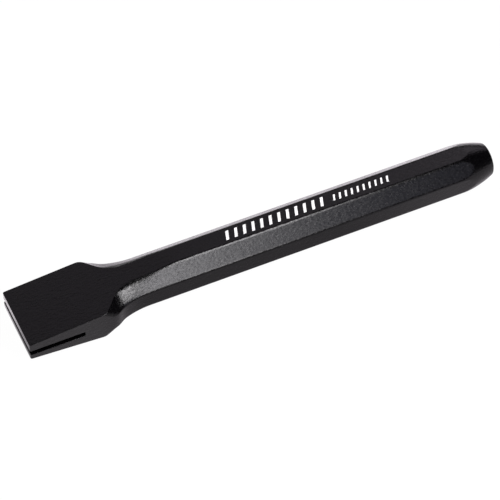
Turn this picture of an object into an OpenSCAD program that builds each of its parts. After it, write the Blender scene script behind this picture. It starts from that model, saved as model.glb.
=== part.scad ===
// Scutch chisel: one forging from octagonal bar, with a flat head whose tip
// is slotted to take a loose scutching comb, and a turned end for the hammer.
// The steel is divided where the slot ends, into the shank and the two jaws,
// so that each solid is plain and the slot between the jaws stays open.
// Frame: +X runs from the slotted tip to the struck end, +Y across the head,
// +Z up. The origin is under the middle of the tool, on the surface it lies on.
// All sizes are in millimetres.

/* [Bar] */
// Overall length, from the slotted tip to the struck end
overall_length = 203; // [165:1:320]
// Size of the octagonal bar across its flats
bar_flats = 19; // [15:0.5:22.5]

/* [Head] */
// Width of the head across its two side faces
head_width = 28.5; // [24:0.5:60]
// Length of the head's side faces, from the tip to the shoulder
head_length = 36.5; // [30:0.5:60]
// Thickness of the head at its tip
tip_thickness = 8.2; // [6:0.1:12]
// Distance from the tip at which the head is as thick as the bar
taper_length = 64; // [54:1:75]
// Radius on the two upright edges of the tip
tip_corner_r = 0.8; // [0.2:0.1:2]

/* [Neck] */
// Radius of the hollow that runs from the shoulder into the bar, seen from above
neck_radius = 34; // [24:1:60]
// How far the 45 degree shoulder comes in from the side face before the hollow starts
shoulder_drop = 2; // [0.5:0.1:2.2]
// How much lower the shoulder's sloping face starts than the bar's sloping facets
shoulder_step = 0.5; // [0.2:0.1:1.5]

/* [Comb slot] */
// Height of the slot, which is the comb's thickness with a sliding clearance
slot_height = 2.3; // [1.5:0.1:3]
// Depth of the slot, from the tip
slot_depth = 22.6; // [16:0.2:28]
// How far the middle of the slot lies below the middle of the head
slot_drop = 0.6; // [0:0.1:0.8]

/* [Struck end] */
// Length of the turned taper at the struck end
crown_length = 21; // [14:0.5:26]
// Radius of the taper's bowed outline
crown_radius = 62; // [50:1:120]
// Chamfer around the rim of the struck face
rim_chamfer = 0.3; // [0.2:0.1:1.5]

/* [Printed mark] */
// Height of the tall bars, across the top flat
tall_height = 4.3; // [3:0.1:5]
// Number of tall bars
tall_count = 12; // [6:1:14]
// Centre distance of the tall bars
tall_pitch = 3.7; // [3:0.1:4]
// Width of a tall bar
tall_width = 1.2; // [0.6:0.1:1.8]
// Height of the short bars
short_height = 2.9; // [2:0.1:4]
// Number of short bars
short_count = 10; // [4:1:12]
// Centre distance of the short bars
short_pitch = 2.6; // [2:0.1:3]
// Width of a short bar
short_width = 0.8; // [0.4:0.1:1.2]
// Gap between the two groups of bars
group_gap = 4.4; // [2:0.2:8]
// Thickness of the ink
ink_thickness = 0.1; // [0.05:0.05:0.3]

/* [Hidden] */
$fn = 96;
OVER = 1;                                  // how far a cutter runs past what it cuts
HOLLOW_SINK = 0.05;                        // the hollow dips under the bar's faces, to meet in a line
half_flats = bar_flats / 2;
half_facet = half_flats * tan(22.5);       // half the width of one of the eight facets
corner_r = half_flats / cos(22.5);         // from the bar's axis to its corners
half_width = head_width / 2;
tip_x = -overall_length / 2;
end_x = overall_length / 2;
shoulder_x = tip_x + head_length;
slot_end_x = tip_x + slot_depth;
slot_floor_z = half_flats - slot_drop - slot_height / 2;
slot_roof_z = slot_floor_z + slot_height;
// The hollow starts where the shoulder stops, and runs out along the bar's faces
hollow_y = half_width - shoulder_drop;
hollow_rise = hollow_y - half_flats;
neck_end_x = shoulder_x + shoulder_drop
    + sqrt(2 * neck_radius * hollow_rise - hollow_rise * hollow_rise);
taper_end_x = tip_x + taper_length;
crown_x = end_x - crown_length;
turned_r = corner_r + 0.1;                 // the taper starts just clear of the bar's corners
face_r = turned_r - crown_radius + sqrt(crown_radius * crown_radius
    - crown_length * crown_length);
tall_run = (tall_count - 1) * tall_pitch + tall_width;
short_run = (short_count - 1) * short_pitch + short_width;
mark_run = tall_run + group_gap + short_run;
// The mark is centred on the plain part of the top flat
mark_x = (taper_end_x + crown_x) / 2 - mark_run / 2;
MARK_SLANT = 0.35;                         // how far a bar leans, as a share of its height

BLACK = [0.05, 0.05, 0.055];
WHITE = [0.92, 0.92, 0.9];

// Octagonal bar of the full length, with a flat underneath and on top
module bar() {
    translate([tip_x, 0, half_flats])
        rotate([0, 90, 0])
            rotate([0, 0, 22.5])
                cylinder(r = corner_r, h = overall_length, $fn = 8);
}

// Block that the head and neck are cut from
module head_blank() {
    translate([tip_x, -half_width, 0])
        cube([neck_end_x - tip_x, head_width, bar_flats]);
}

// Outline of a cutter whose working face stands upright within half_upright of
// the middle plane, and reaches further at 45 degrees above and below that
module chamfered_profile(reach, half_upright) {
    high = half_flats + OVER;
    polygon([
        [0, -high],
        [reach + high - half_upright, -high],
        [reach, -half_upright],
        [reach, half_upright],
        [reach + high - half_upright, high],
        [0, high]
    ]);
}

// Round cutter for the hollow of the neck on the +Y side
module hollow_cutter() {
    translate([neck_end_x, half_flats + neck_radius - HOLLOW_SINK, half_flats])
        rotate_extrude($fn = 180)
            chamfered_profile(neck_radius, half_facet);
}

// Straight cutter at 45 degrees that stops the hollow at the shoulder
module shoulder_cutter() {
    run = 2 * neck_radius;
    translate([shoulder_x, half_width, half_flats])
        rotate([0, 0, 45])
            translate([run, run / 2, 0])
                rotate([90, 0, 0])
                    linear_extrude(height = run)
                        mirror([1, 0])
                            chamfered_profile(run, half_facet - shoulder_step);
}

module neck_cut() {
    intersection() {
        hollow_cutter();
        shoulder_cutter();
    }
}

// The head seen from the side: a wedge that grows from the tip to the bar
module side_profile() {
    half_tip = tip_thickness / 2;
    translate([0, half_width + OVER, half_flats])
        rotate([90, 0, 0])
            linear_extrude(height = head_width + 2 * OVER)
                polygon([
                    [tip_x, -half_tip],
                    [taper_end_x, -half_flats],
                    [end_x, -half_flats],
                    [end_x, half_flats],
                    [taper_end_x, half_flats],
                    [tip_x, half_tip]
                ]);
}

// Upright edge at a corner of the tip, +Y side
module tip_corner_cut() {
    translate([tip_x + tip_corner_r, half_width - tip_corner_r, -OVER])
        difference() {
            translate([-tip_corner_r - OVER, 0, 0])
                cube([tip_corner_r + OVER, tip_corner_r + OVER, bar_flats + 2 * OVER]);
            translate([0, 0, -OVER])
                cylinder(r = tip_corner_r, h = bar_flats + 4 * OVER);
        }
}

// Everything that the lathe leaves at the struck end: a bowed taper that cuts
// the bar's corners first, and a chamfered rim
module turned_outline() {
    translate([crown_x, 0, half_flats])
        rotate([0, 90, 0])
            rotate_extrude($fn = 120)
                intersection() {
                    translate([turned_r - crown_radius, 0])
                        circle(r = crown_radius, $fn = 360);
                    polygon([
                        [0, 0],
                        [turned_r + OVER, 0],
                        [turned_r + OVER, crown_length - rim_chamfer],
                        [face_r, crown_length - rim_chamfer],
                        [face_r - rim_chamfer, crown_length],
                        [0, crown_length]
                    ]);
                }
    translate([tip_x - OVER, -half_width - OVER, -OVER])
        cube([crown_x - tip_x + OVER, head_width + 2 * OVER, bar_flats + 2 * OVER]);
}

// The whole forging, before the slot is milled
module forging() {
    intersection() {
        union() {
            bar();
            difference() {
                head_blank();
                neck_cut();
                mirror([0, 1, 0]) neck_cut();
                tip_corner_cut();
                mirror([0, 1, 0]) tip_corner_cut();
            }
        }
        side_profile();
        turned_outline();
    }
}

// The part of the forging between two stations and two heights
module forging_between(low_x, high_x, low_z, high_z) {
    intersection() {
        forging();
        translate([low_x, -half_width - OVER, low_z])
            cube([high_x - low_x, head_width + 2 * OVER, high_z - low_z]);
    }
}

// Everything behind the slot: rear of the head, neck, bar and struck end
module shank() {
    color(BLACK)
        forging_between(slot_end_x, end_x + OVER, -OVER, bar_flats + OVER);
}

module upper_jaw() {
    color(BLACK)
        forging_between(tip_x - OVER, slot_end_x, slot_roof_z, bar_flats + OVER);
}

module lower_jaw() {
    color(BLACK)
        forging_between(tip_x - OVER, slot_end_x, -OVER, slot_floor_z);
}

// One leaning bar of ink, standing on the line y = 0 and centred on it
module ink_bar(width, height) {
    lean = MARK_SLANT * height;
    linear_extrude(height = ink_thickness)
        polygon([
            [-lean / 2, -height / 2],
            [width - lean / 2, -height / 2],
            [width + lean / 2, height / 2],
            [lean / 2, height / 2]
        ]);
}

module printed_mark() {
    color(WHITE)
        translate([mark_x, 0, bar_flats]) {
            for (i = [0 : tall_count - 1])
                translate([i * tall_pitch, 0, 0])
                    ink_bar(tall_width, tall_height);
            for (i = [0 : short_count - 1])
                translate([tall_run + group_gap + i * short_pitch, 0, 0])
                    ink_bar(short_width, short_height);
        }
}

shank();
upper_jaw();
lower_jaw();
printed_mark();
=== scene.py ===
"""Looks of the scutch chisel: one black forging with a milled slot, and its white print."""
import math

import bmesh
import bpy
import numpy as np
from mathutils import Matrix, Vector

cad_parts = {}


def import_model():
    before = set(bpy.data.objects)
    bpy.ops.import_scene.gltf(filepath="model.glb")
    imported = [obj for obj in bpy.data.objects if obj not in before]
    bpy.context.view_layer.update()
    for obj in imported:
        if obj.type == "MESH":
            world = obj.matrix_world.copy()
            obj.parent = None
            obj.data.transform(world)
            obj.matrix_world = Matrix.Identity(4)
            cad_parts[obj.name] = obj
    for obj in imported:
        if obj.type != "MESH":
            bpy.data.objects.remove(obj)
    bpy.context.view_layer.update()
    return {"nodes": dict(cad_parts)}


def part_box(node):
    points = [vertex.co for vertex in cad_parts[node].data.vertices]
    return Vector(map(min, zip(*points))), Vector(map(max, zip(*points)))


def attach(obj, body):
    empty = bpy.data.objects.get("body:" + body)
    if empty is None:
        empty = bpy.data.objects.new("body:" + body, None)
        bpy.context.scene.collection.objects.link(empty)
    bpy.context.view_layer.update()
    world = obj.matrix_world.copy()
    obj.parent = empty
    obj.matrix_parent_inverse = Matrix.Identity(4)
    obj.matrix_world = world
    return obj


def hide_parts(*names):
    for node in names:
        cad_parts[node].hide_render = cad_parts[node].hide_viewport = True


MM = 0.001

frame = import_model()

# --- Sizes that the frame gives ------------------------------------------------------------------

shank_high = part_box("shank")[1]
upper_low, upper_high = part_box("upper_jaw")
lower_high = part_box("lower_jaw")[1]

TIP_X = upper_low.x
LENGTH = shank_high.x - TIP_X
HALF_WIDTH = upper_high.y
HALF_FLATS = shank_high.z / 2
AXIS_Z = HALF_FLATS
HALF_FACET = HALF_FLATS * math.tan(math.pi / 8)
CORNER_R = HALF_FLATS / math.cos(math.pi / 8)
SLOT_ROOF = upper_low.z
SLOT_FLOOR = lower_high.z
SLOT_DEPTH = upper_high.x - TIP_X

# --- Sizes of the forging, as the CAD has them ---------------------------------------------------

TAPER_LENGTH = 64 * MM       # from the tip to where the head is as thick as the bar
HEAD_LENGTH = 36.5 * MM      # from the tip to the shoulder
SHOULDER_DROP = 2 * MM       # how far the 45 degree shoulder comes in before the hollow
SHOULDER_STEP = 0.5 * MM     # how much lower its sloping face starts
NECK_RADIUS = 34 * MM        # hollow between shoulder and bar
CROWN_LENGTH = 21 * MM       # turned taper at the struck end
CROWN_RADIUS = 62 * MM
CROWN_START_R = CORNER_R + 0.1 * MM  # it starts just clear of the bar's corners
RIM_CHAMFER = 0.3 * MM
TIP_CORNER_R = 0.8 * MM

# --- Where the visible forging leaves the CAD's plain shapes, inside its box ---------------------

FLARE_LENGTH = 58 * MM       # from the tip to where the neck's sloping facets start to lie flatter
FLARE_RUN = 19 * MM
FLARE_GROWTH = 0.47          # how much wider they are for their height, one FLARE_RUN nearer the tip
CROWN_FULLNESS = 0.22 * MM   # how far the taper stands out from its arc, where it does so most
CROWN_FULLEST = 2 / 3        # where that is, as a share of the taper's length

# --- How far each kind of edge is softened -------------------------------------------------------

SOFT_BAR = 0.65 * MM         # the bar's long edges
SOFT_HEAD = 0.16 * MM        # the edges of the head's top and underside
SOFT_NECK = 1.3 * MM         # the most along the neck
NECK_ROUNDEST = 44 * MM      # from the tip to where that is
SOFT_WEDGE = 0.3 * MM        # where the head becomes as thick as the bar
SOFT_SLOPE = 0.30 * MM       # between the shoulder's upright and sloping faces
SOFT_OUTER_CORNER = 1.6 * MM     # from the head's side face to the shoulder
SOFT_INNER_CORNER = 1.4 * MM     # from the shoulder to the hollow
SOFT_CROWN = 0.12 * MM       # where the turned taper cuts the bar's faces
SOFT_RIM = 0.2 * MM
SLOT_TIP_R = 0.45 * MM       # the slot's mouth in the tip
SLOT_SIDE_R = 0.2 * MM       # its mouths in the side faces


def smooth_max(a, b, soft):
    """The larger of a and b, rounded off where they differ by less than soft."""
    share = np.clip(0.5 + 0.5 * (a - b) / soft, 0, 1)
    return b + (a - b) * share + soft * share * (1 - share)


def smooth_min(a, b, soft):
    return -smooth_max(-a, -b, soft)


def ease(x, low, high):
    """A smooth rise from 0 at low to 1 at high."""
    t = np.clip((x - low) / (high - low), 0, 1)
    return t * t * (3 - 2 * t)


# --- The forging as one function: negative inside the steel --------------------------------------
# s is the distance from the tip, y and z are taken from the bar's axis

HOLLOW_RISE = HALF_WIDTH - SHOULDER_DROP - HALF_FLATS
NECK_END = HEAD_LENGTH + SHOULDER_DROP + math.sqrt(2 * NECK_RADIUS * HOLLOW_RISE - HOLLOW_RISE ** 2)
UPPER_JAW_TOP = upper_high.z - AXIS_Z
TAPER_SLOPE = (HALF_FLATS - UPPER_JAW_TOP) / (TAPER_LENGTH - SLOT_DEPTH)
CROWN_START = LENGTH - CROWN_LENGTH
CROWN_LEAD = 2 * MM          # the lathe's cut is looked for from this far before the taper


def half_thickness(s):
    """From the axis to the top or underside: the head is a wedge that grows to the bar."""
    wedge = HALF_FLATS - TAPER_SLOPE * (TAPER_LENGTH - s)
    return smooth_min(wedge, HALF_FLATS, SOFT_WEDGE)


def hollow_depth(s, y):
    """How far inside the steel a point is, seen from above, from the hollow of the neck."""
    if s >= NECK_END:
        return HALF_FLATS - y
    centre_y = HALF_FLATS + NECK_RADIUS
    return np.hypot(s - NECK_END, y - centre_y) - NECK_RADIUS


def facet_flare(s):
    """How wide the neck's sloping facets are for their height: 1 for 45 degrees."""
    run = max(FLARE_LENGTH - s, 0) / FLARE_RUN
    return 1 + FLARE_GROWTH * run * run


def flat_softness(s):
    """How far the edges of the top and bottom flats are softened."""
    into_neck = (SOFT_NECK - SOFT_HEAD) * ease(s, HEAD_LENGTH, NECK_ROUNDEST)
    into_bar = (SOFT_BAR - SOFT_NECK) * ease(s, NECK_ROUNDEST, FLARE_LENGTH)
    return SOFT_HEAD + into_neck + into_bar


def crown_fullness(share):
    """How far the taper stands out from its arc, at a share of its length."""
    most = CROWN_FULLEST ** 2 * (1 - CROWN_FULLEST)
    return CROWN_FULLNESS * share ** 2 * (1 - share) / most


def crown_radius(s):
    along = min(max(s - CROWN_START, 0), CROWN_LENGTH)
    arc = CROWN_START_R - CROWN_RADIUS + math.sqrt(CROWN_RADIUS ** 2 - along ** 2)
    return arc + crown_fullness(along / CROWN_LENGTH)


def steel(s, y, z):
    """About how far a point lies outside the forging's surface, or below 0 how far inside."""
    across = np.abs(y)
    rise = np.abs(z)
    sloping = smooth_max(rise - HALF_FACET, 0, SOFT_BAR)
    hollow = sloping * facet_flare(s) - hollow_depth(s, across)
    shoulder_slope = smooth_max(rise - HALF_FACET + SHOULDER_STEP, 0, SOFT_SLOPE)
    shoulder = shoulder_slope - (HEAD_LENGTH + HALF_WIDTH - s - across) / math.sqrt(2)
    flank = smooth_min(hollow, shoulder, SOFT_INNER_CORNER)
    side = smooth_max(across - HALF_WIDTH, flank, SOFT_OUTER_CORNER)
    side = smooth_max(side, -s, TIP_CORNER_R)
    body = smooth_max(side, rise - half_thickness(s), flat_softness(s))
    if s < CROWN_START - CROWN_LEAD:
        return body
    turned = np.hypot(y, z) - crown_radius(s)
    body = smooth_max(body, turned, SOFT_CROWN)
    rim = (turned + s - LENGTH + RIM_CHAMFER) / math.sqrt(2)
    body = smooth_max(body, rim, SOFT_RIM)
    return smooth_max(body, s - LENGTH, SOFT_RIM)


# --- The mesh: one ring of points for each station along the tool --------------------------------

# Stretches of the tool from the tip on: where each ends, and how far apart its rings are
RING_STRETCHES = [
    (0.7 * MM, 0.07 * MM),                              # rounded edge of the tip
    (HEAD_LENGTH - 5.5 * MM, 0.6 * MM),                 # head
    (HEAD_LENGTH + SHOULDER_DROP + 2 * MM, 0.12 * MM),  # shoulders
    (TAPER_LENGTH - 2 * MM, 0.4 * MM),                  # neck
    (CROWN_START - 1 * MM, 3.5 * MM),                   # bar
    (LENGTH - 1 * MM, 0.25 * MM),                       # turned taper
    (LENGTH, 0.06 * MM),                                # rim
]
END_INSET = 0.0001 * MM      # the first and last ring are measured this far inside the ends
RAYS = 1500                  # directions in which a quarter of a ring is looked for
HALVINGS = 40                # how often the stretch that holds the surface is halved
QUARTER_POINTS = 40          # points that a quarter of a ring keeps
SPREAD_BY_LENGTH = 0.45      # share of them that is spread evenly, while the rest go where it turns
SHARP_FROM = math.radians(40)    # edges that turn further than this are shaded as sharp
SLOT_OVERCUT = 1 * MM        # how far the slot's space runs past the tip and the side faces


def stations():
    """Distances from the tip at which the rings stand."""
    rows = []
    start = 0
    for end, step in RING_STRETCHES:
        rows.append(np.linspace(start, end, round((end - start) / step), endpoint=False))
        start = end
    return np.append(np.concatenate(rows), LENGTH)


def quarter_ring(s):
    """Points of one quarter of a cross-section, from the side round to the top, closer on the turns."""
    angle = np.linspace(0, math.pi / 2, RAYS)
    cy, cz = np.cos(angle), np.sin(angle)
    low = np.zeros(RAYS)
    high = np.full(RAYS, 2 * HALF_WIDTH)
    for _ in range(HALVINGS):
        mid = (low + high) / 2
        inside = steel(s, mid * cy, mid * cz) < 0
        low = np.where(inside, mid, low)
        high = np.where(inside, high, mid)
    y, z = low * cy, low * cz
    dy, dz = np.diff(y), np.diff(z)
    heading = np.unwrap(np.arctan2(dz, dy))
    walked = np.concatenate([[0], np.cumsum(np.hypot(dy, dz))])
    turned = np.cumsum(np.concatenate([[0], np.abs(np.diff(heading)), [0]]))
    place = SPREAD_BY_LENGTH * walked / walked[-1] + (1 - SPREAD_BY_LENGTH) * turned / turned[-1]
    wanted = np.linspace(place[0], place[-1], QUARTER_POINTS + 1)
    return np.interp(wanted, place, y), np.interp(wanted, place, z)


def full_ring(s):
    """The quarter ring mirrored into a whole one."""
    y, z = quarter_ring(s)
    y = np.concatenate([y, -y[-2::-1], -y[1:], y[-2:0:-1]])
    z = np.concatenate([z, z[-2::-1], -z[1:], -z[-2:0:-1]])
    return y, z


def new_mesh(name, points, faces):
    mesh = bpy.data.meshes.new(name)
    mesh.from_pydata(points, [], faces)
    mesh.validate()
    return mesh


def forging_mesh():
    """The forging without its slot: the rings joined by a skin, and closed at both ends."""
    rows = stations()
    rings = []
    for s in rows:
        y, z = full_ring(min(max(s, END_INSET), LENGTH - END_INSET))
        rings.append(np.column_stack([np.full(len(y), TIP_X + s), y, AXIS_Z + z]))
    n = len(rings[0])
    faces = []
    for i in range(len(rows) - 1):
        a, b = i * n, (i + 1) * n
        for j in range(n):
            k = (j + 1) % n
            faces.append((a + j, a + k, b + k, b + j))
    faces.append(tuple(range(n))[::-1])
    faces.append(tuple(range((len(rows) - 1) * n, len(rows) * n)))
    return new_mesh("forging", np.concatenate(rings).tolist(), faces)


def rounded_mouth(radius, steps=6):
    """A mouth that opens in a quarter circle: how far in each point is, and how far it opens there."""
    turns = [math.pi / 2 * i / steps for i in range(steps, -1, -1)]
    quarter = [(radius * (1 - math.sin(a)), radius * (1 - math.cos(a))) for a in turns]
    return [(-SLOT_OVERCUT, radius)] + quarter


def slot_cutter():
    """The slot's space, with rounded mouths where it breaks through the tip and the side faces."""
    half = (SLOT_ROOF - SLOT_FLOOR) / 2
    centre = (SLOT_ROOF + SLOT_FLOOR) / 2
    xs = [(TIP_X + inside, opens) for inside, opens in rounded_mouth(SLOT_TIP_R)]
    xs.append((TIP_X + SLOT_DEPTH, 0.0))
    near = [(inside - HALF_WIDTH, opens) for inside, opens in rounded_mouth(SLOT_SIDE_R)]
    ys = near + [(-y, opens) for y, opens in near[::-1]]
    points, faces = [], []
    for up in (1, -1):
        for x, opens_x in xs:
            for y, opens_y in ys:
                points.append((x, y, centre + up * (half + max(opens_x, opens_y))))
    nx, ny = len(xs), len(ys)
    layer = nx * ny
    for i in range(nx - 1):
        for j in range(ny - 1):
            a = i * ny + j
            quad = (a, a + ny, a + ny + 1, a + 1)
            faces.append(quad)
            faces.append(tuple(layer + v for v in quad[::-1]))
    rim = list(range(ny)) + [i * ny + ny - 1 for i in range(1, nx)]
    rim += [(nx - 1) * ny + j for j in range(ny - 2, -1, -1)] + [i * ny for i in range(nx - 2, 0, -1)]
    for a, b in zip(rim, rim[1:] + rim[:1]):
        faces.append((a, b, layer + b, layer + a))
    return new_mesh("slot_space", points, faces)


def link(name, mesh):
    obj = bpy.data.objects.new(name, mesh)
    bpy.context.scene.collection.objects.link(obj)
    return obj


def make_outward(mesh):
    bm = bmesh.new()
    bm.from_mesh(mesh)
    bmesh.ops.recalc_face_normals(bm, faces=bm.faces)
    bm.to_mesh(mesh)
    bm.free()


def forging():
    """The forging with its slot milled out."""
    body = link("forging", forging_mesh())
    cutter = link("slot_space", slot_cutter())
    make_outward(body.data)
    make_outward(cutter.data)
    cut = body.modifiers.new("slot", "BOOLEAN")
    cut.operation = "DIFFERENCE"
    cut.solver = "MANIFOLD"
    cut.object = cutter
    depsgraph = bpy.context.evaluated_depsgraph_get()
    cut_mesh = bpy.data.meshes.new_from_object(body.evaluated_get(depsgraph))
    body.modifiers.clear()
    body.data = cut_mesh
    body.data.name = "forging"
    bpy.data.objects.remove(cutter)
    for polygon in body.data.polygons:
        polygon.use_smooth = True
    body.data.set_sharp_from_angle(angle=SHARP_FROM)
    return body


# --- Materials ------------------------------------------------------------------------------------

# Grains per metre
RIPPLE = 1300                # forging grain
PEEL = 260                   # slow waves in the lacquer
PATCHES = 45                 # glossier and duller areas
SPECKLE = 1800               # fine change of gloss
INK_FILM = 1100
NOISE_RANGE = (0.3, 0.7)     # nearly all of the noise lies between these


def new_material(name):
    material = bpy.data.materials.new(name)
    material.use_nodes = True
    nodes = material.node_tree.nodes
    return material, nodes, material.node_tree.links, nodes["Principled BSDF"]


def noise(nodes, links, scale, detail, roughness=0.6, stretch=(1, 1, 1)):
    """Noise with scale grains per metre; under 1, stretch makes them longer along that axis."""
    coordinates = nodes.new("ShaderNodeTexCoord")
    mapping = nodes.new("ShaderNodeMapping")
    mapping.inputs["Scale"].default_value = [scale * v for v in stretch]
    links.new(coordinates.outputs["Object"], mapping.inputs["Vector"])
    node = nodes.new("ShaderNodeTexNoise")
    node.inputs["Scale"].default_value = 1.0
    node.inputs["Detail"].default_value = detail
    node.inputs["Roughness"].default_value = roughness
    links.new(mapping.outputs["Vector"], node.inputs["Vector"])
    return node.outputs["Fac"]


def spread(nodes, links, source, low, high):
    """Noise brought to the range from low to high."""
    node = nodes.new("ShaderNodeMapRange")
    node.inputs["From Min"].default_value = NOISE_RANGE[0]
    node.inputs["From Max"].default_value = NOISE_RANGE[1]
    node.inputs["To Min"].default_value = low
    node.inputs["To Max"].default_value = high
    links.new(source, node.inputs["Value"])
    return node.outputs["Result"]


def tint(nodes, links, source, dark, light):
    """A colour that goes from dark to light with the source."""
    node = nodes.new("ShaderNodeMix")
    node.data_type = "RGBA"
    node.inputs["A"].default_value = (*dark, 1)
    node.inputs["B"].default_value = (*light, 1)
    links.new(source, node.inputs["Factor"])
    return node.outputs["Result"]


def bump(nodes, links, source, height):
    node = nodes.new("ShaderNodeBump")
    node.inputs["Distance"].default_value = height
    links.new(source, node.inputs["Height"])
    return node


def black_lacquer():
    """Thin black lacquer over forging grain: the grain shows as a fine ripple, longer along the bar."""
    material, nodes, links, shader = new_material("black_lacquer")
    shader.inputs["Metallic"].default_value = 0.0
    shader.inputs["IOR"].default_value = 1.37
    grain = noise(nodes, links, RIPPLE, 3.0, stretch=(0.5, 1, 1))
    peel = noise(nodes, links, PEEL, 2.0, 0.5, stretch=(0.6, 1, 1))
    patches = noise(nodes, links, PATCHES, 4.0)
    speckle = noise(nodes, links, SPECKLE, 1.0, 0.5, stretch=(0.6, 1, 1))

    fine = bump(nodes, links, grain, 0.10 * MM)
    coarse = bump(nodes, links, peel, 0.05 * MM)
    links.new(fine.outputs["Normal"], coarse.inputs["Normal"])
    links.new(coarse.outputs["Normal"], shader.inputs["Normal"])

    roughness = nodes.new("ShaderNodeMath")
    roughness.operation = "ADD"
    links.new(spread(nodes, links, speckle, 0.11, 0.29), roughness.inputs[0])
    links.new(spread(nodes, links, patches, -0.03, 0.02), roughness.inputs[1])
    links.new(roughness.outputs["Value"], shader.inputs["Roughness"])

    colour = tint(nodes, links, grain, (0.0005, 0.0004, 0.0006), (0.0009, 0.0007, 0.0011))
    links.new(colour, shader.inputs["Base Color"])
    return material


def white_ink():
    """Matt print: its film is a little uneven, so its shade, sheen and surface vary."""
    material, nodes, links, shader = new_material("white_ink")
    film = noise(nodes, links, INK_FILM, 3.0)
    colour = tint(nodes, links, film, (0.74, 0.74, 0.73), (0.86, 0.86, 0.85))
    links.new(colour, shader.inputs["Base Color"])
    links.new(spread(nodes, links, film, 0.5, 0.7), shader.inputs["Roughness"])
    links.new(bump(nodes, links, film, 0.02 * MM).outputs["Normal"], shader.inputs["Normal"])
    return material


# --- Studio ---------------------------------------------------------------------------------------
# Places and sizes that have no unit here are in metres

# The camera stands where the photographer did: turned round the tool, above it, about a metre away
VIEW_TURN = math.radians(24.67)
VIEW_HEIGHT = math.radians(50.88)
VIEW_DISTANCE = 954.8 * MM
LOOK_AT = Vector((TIP_X + 96.53 * MM, -3.37 * MM, AXIS_Z))
FOCAL_SHARE = 4.879          # focal length as a share of the sensor's width

WHITE = (1, 1, 1)
NEUTRAL = (1, 0.98, 1)
WARM = (1, 0.91, 1.02)
COOL = (0.9, 0.9, 1.1)
BOUNCE_TINT = (1, 0.94, 1)

WORLD_LEVEL = 0.035
BACKDROP_LEVEL = 1.02
SEEN_FLOOR_LEVEL = 0.97
BOUNCE_SHADED_LEVEL = 0.45          # beside the bar, where the bounce floor is darkest: painted shade for the tool's shadow on the floor
# Where the bounce floor's painted shade gives way and it grows lighter: along which axis, from where, to
# where, and by how much
BOUNCE_RISES = [
    ("X", -0.045, -0.075, 0.40),     # towards the head
    ("X", 0.03, 0.09, 0.30),         # towards the struck end
    ("Y", 0.0, 0.02, 0.80),          # behind the tool
]
FLOOR_HALF = 4.0
BOUNCE_DEPTH = 0.5 * MM      # how far under the seen floor the bounce floor lies
BACKDROP_RADIUS = 3.5

# Name, place, point it faces, width and height, radiance, lengths it fades over, colour
SOFTBOXES = [
    # The near sloping facet: most of its light, more of it beside the neck, and a weak wide share
    ("key", (0.065, -0.25, 0.18), (0.065, 0.0, 0.015), (0.19, 0.16), 5.7, (0.03, 0.16, 0.024), NEUTRAL),
    ("peak", (0.01, -0.25, 0.20), (0.01, 0.0, 0.015), (0.08, 0.12), 7.5, (0.03, 0.03, 0.024), NEUTRAL),
    ("key_spill", (0.035, -0.26, 0.18), (0.02, 0.0, 0.015), (0.43, 0.14), 0.9, (0.065, 0.065, 0.02), COOL),
    # The rounded edges above and below that facet
    ("upper", (0.08, -0.14, 0.27), (0.08, 0.0, 0.015), (0.16, 0.15), 20.0, (0.03, 0.10, 0.022), NEUTRAL),
    ("low", (0.065, -0.29, 0.10), (0.065, 0.0, 0.01), (0.13, 0.07), 16.0, (0.03, 0.1, 0.01), NEUTRAL),
    # The top flat, and the top of the turned taper
    ("back", (0.25, 0.62, 0.85), (0, 0, 0), (1.3, 0.7), 0.55, (0.25, 0.25, 0.17), WARM),
    ("back_right", (0.45, 0.60, 0.83), (0.1, 0, 0), (0.5, 0.6), 0.25, (0.2, 0.25, 0.15), WARM),
    ("right_back", (0.62, 0.50, 0.45), (0.1, 0, 0.01), (0.6, 0.6), 0.9, (0.15, 0.15, 0.15), WARM),
    # The far edge of the top flat
    ("behind", (-0.2, 0.9, 0.28), (0, 0, 0.01), (1.0, 0.4), 3.5, (0.25, 0.25, 0.1), NEUTRAL),
    # For views from other sides than the photographer's
    ("left_back", (-1.1, 0.85, 0.75), (0, 0, 0), (1.2, 0.9), 2.6, (0.4, 0.4, 0.3), NEUTRAL),
    ("left_front", (-0.9, -0.6, 0.9), (0, 0, 0), (0.8, 0.8), 4.0, (0.25, 0.25, 0.25), NEUTRAL),
    ("overhead", (-0.4, 0.0, 1.4), (-0.4, 0, 0), (1.0, 0.5), 2.5, (0.3, 0.2, 0.2), NEUTRAL),
    ("right_front", (1.1, -1.1, 0.33), (0, 0, 0), (0.9, 0.4), 0.14, (0.3, 0.3, 0.2), NEUTRAL),
    ("end", (2.0, 0.3, 0.12), (0, 0, 0.01), (1.2, 0.24), 1.5, (0.4, 0.4, 0.1), NEUTRAL),
]


def camera():
    data = bpy.data.cameras.new("camera")
    data.sensor_width = 36
    data.lens = FOCAL_SHARE * data.sensor_width
    data.clip_start = 0.05
    data.clip_end = 50
    obj = bpy.data.objects.new("camera", data)
    bpy.context.scene.collection.objects.link(obj)
    forward = Vector((
        math.sin(VIEW_TURN) * math.cos(VIEW_HEIGHT),
        math.cos(VIEW_TURN) * math.cos(VIEW_HEIGHT),
        -math.sin(VIEW_HEIGHT),
    ))
    obj.location = LOOK_AT - forward * VIEW_DISTANCE
    obj.rotation_euler = forward.to_track_quat("-Z", "Y").to_euler()
    bpy.context.scene.camera = obj


def rectangle(name, half_x, half_y, height=0.0):
    """A flat piece of the studio, which casts no shadow."""
    corners = [(-half_x, -half_y), (half_x, -half_y), (half_x, half_y), (-half_x, half_y)]
    obj = link(name, new_mesh(name, [(x, y, height) for x, y in corners], [(0, 1, 2, 3)]))
    obj.visible_shadow = False
    return obj


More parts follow.
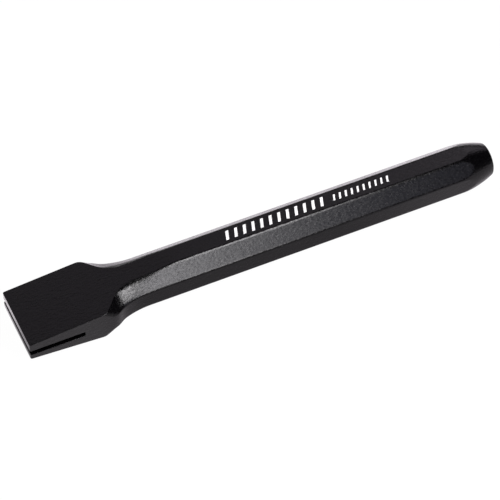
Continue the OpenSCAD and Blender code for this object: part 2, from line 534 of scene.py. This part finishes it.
def smooth_rise(nodes, links, source, start, end, top=1.0):
    """A smooth rise from 0, where source is start, to top, where it is end."""
    node = nodes.new("ShaderNodeMapRange")
    node.interpolation_type = "SMOOTHSTEP"
    node.inputs["From Min"].default_value = start
    node.inputs["From Max"].default_value = end
    node.inputs["To Max"].default_value = top
    links.new(source, node.inputs["Value"])
    return node.outputs["Result"]


def split_place(nodes, links):
    """The place on a studio piece, in its own axes."""
    coordinates = nodes.new("ShaderNodeTexCoord")
    split = nodes.new("ShaderNodeSeparateXYZ")
    links.new(coordinates.outputs["Object"], split.inputs["Vector"])
    return split.outputs


def softbox(name, place, aim, size, radiance, fades, colour):
    """A lit panel that isn't seen itself and lets other light through. It fades out over three lengths:
    at its left and right, seen from behind it, and at its top and bottom."""
    half_x, half_y = size[0] / 2, size[1] / 2
    obj = rectangle(name, half_x, half_y)
    obj.location = place
    obj.rotation_euler = (Vector(aim) - Vector(place)).to_track_quat("-Z", "Y").to_euler()
    obj.visible_camera = False
    material = bpy.data.materials.new(name)
    material.use_nodes = True
    nodes, links = material.node_tree.nodes, material.node_tree.links
    nodes.clear()
    on_panel = split_place(nodes, links)
    left, right, upright = fades
    strength = smooth_rise(nodes, links, on_panel["X"], -half_x, left - half_x, radiance)
    for axis, start, end in [
        ("X", half_x, half_x - right),
        ("Y", -half_y, upright - half_y),
        ("Y", half_y, half_y - upright),
    ]:
        product = nodes.new("ShaderNodeMath")
        product.operation = "MULTIPLY"
        links.new(strength, product.inputs[0])
        links.new(smooth_rise(nodes, links, on_panel[axis], start, end), product.inputs[1])
        strength = product.outputs["Value"]
    emission = nodes.new("ShaderNodeEmission")
    emission.inputs["Color"].default_value = (*colour, 1)
    links.new(strength, emission.inputs["Strength"])
    both = nodes.new("ShaderNodeAddShader")
    links.new(emission.outputs["Emission"], both.inputs[0])
    links.new(nodes.new("ShaderNodeBsdfTransparent").outputs["BSDF"], both.inputs[1])
    output = nodes.new("ShaderNodeOutputMaterial")
    links.new(both.outputs["Shader"], output.inputs["Surface"])
    obj.data.materials.append(material)


def backdrop():
    """A pale dome behind everything, seen only straight from the camera."""
    bpy.ops.mesh.primitive_uv_sphere_add(segments=48, ring_count=24, radius=BACKDROP_RADIUS)
    obj = bpy.context.object
    obj.name = "backdrop"
    for ray in ("diffuse", "glossy", "transmission", "volume_scatter", "shadow"):
        setattr(obj, "visible_" + ray, False)
    material, _, _, shader = new_material("backdrop")
    shader.inputs["Base Color"].default_value = (0, 0, 0, 1)
    shader.inputs["Specular IOR Level"].default_value = 0.0
    shader.inputs["Emission Color"].default_value = (*WHITE, 1)
    shader.inputs["Emission Strength"].default_value = BACKDROP_LEVEL
    obj.data.materials.append(material)


def floor(name, height, seen, colour):
    """A pale sheet under the tool, either the one that is seen or the one that the tool reflects."""
    obj = rectangle(name, FLOOR_HALF, FLOOR_HALF, height)
    obj.visible_camera = seen
    obj.visible_glossy = not seen
    obj.visible_diffuse = not seen
    material, nodes, links, shader = new_material(name)
    shader.inputs["Base Color"].default_value = (0.05, 0.05, 0.05, 1)
    shader.inputs["Roughness"].default_value = 0.9
    shader.inputs["Specular IOR Level"].default_value = 0.0
    shader.inputs["Emission Color"].default_value = (*colour, 1)
    obj.data.materials.append(material)
    return nodes, links, shader.inputs["Emission Strength"]


def seen_floor():
    _, _, strength = floor("floor", 0.0, True, WHITE)
    strength.default_value = SEEN_FLOOR_LEVEL


def bounce_floor():
    """What the sides reflect: a glowing sheet with the tool's shadow painted in as painted shade, darkest
    beside the bar, lighter by the head, the struck end and behind.
    """
    nodes, links, strength = floor("bounce", -BOUNCE_DEPTH, False, BOUNCE_TINT)
    on_floor = split_place(nodes, links)
    level = None
    # Painted shade: the glow is turned down beside the bar, where the tool would shade the floor
    for axis, start, end, gain in BOUNCE_RISES:
        total = nodes.new("ShaderNodeMath")
        total.operation = "MULTIPLY_ADD"
        links.new(smooth_rise(nodes, links, on_floor[axis], start, end), total.inputs[0])
        total.inputs[1].default_value = gain
        total.inputs[2].default_value = BOUNCE_SHADED_LEVEL
        if level is not None:
            links.new(level, total.inputs[2])
        level = total.outputs["Value"]
    links.new(level, strength)


def world():
    surroundings = bpy.data.worlds.new("studio")
    bpy.context.scene.world = surroundings
    surroundings.use_nodes = True
    background = surroundings.node_tree.nodes["Background"]
    background.inputs["Color"].default_value = (*WHITE, 1)
    background.inputs["Strength"].default_value = WORLD_LEVEL


def studio():
    world()
    seen_floor()
    bounce_floor()
    backdrop()
    for row in SOFTBOXES:
        softbox(*row)
    bpy.context.scene.view_settings.view_transform = "Standard"


# --- Put together ---------------------------------------------------------------------------------

camera()
studio()

body = forging()
body.data.materials.clear()
body.data.materials.append(black_lacquer())
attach(body, "root")
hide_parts("shank", "upper_jaw", "lower_jaw")

mark = frame["nodes"]["printed_mark"]
mark.data.materials.clear()
mark.data.materials.append(white_ink())
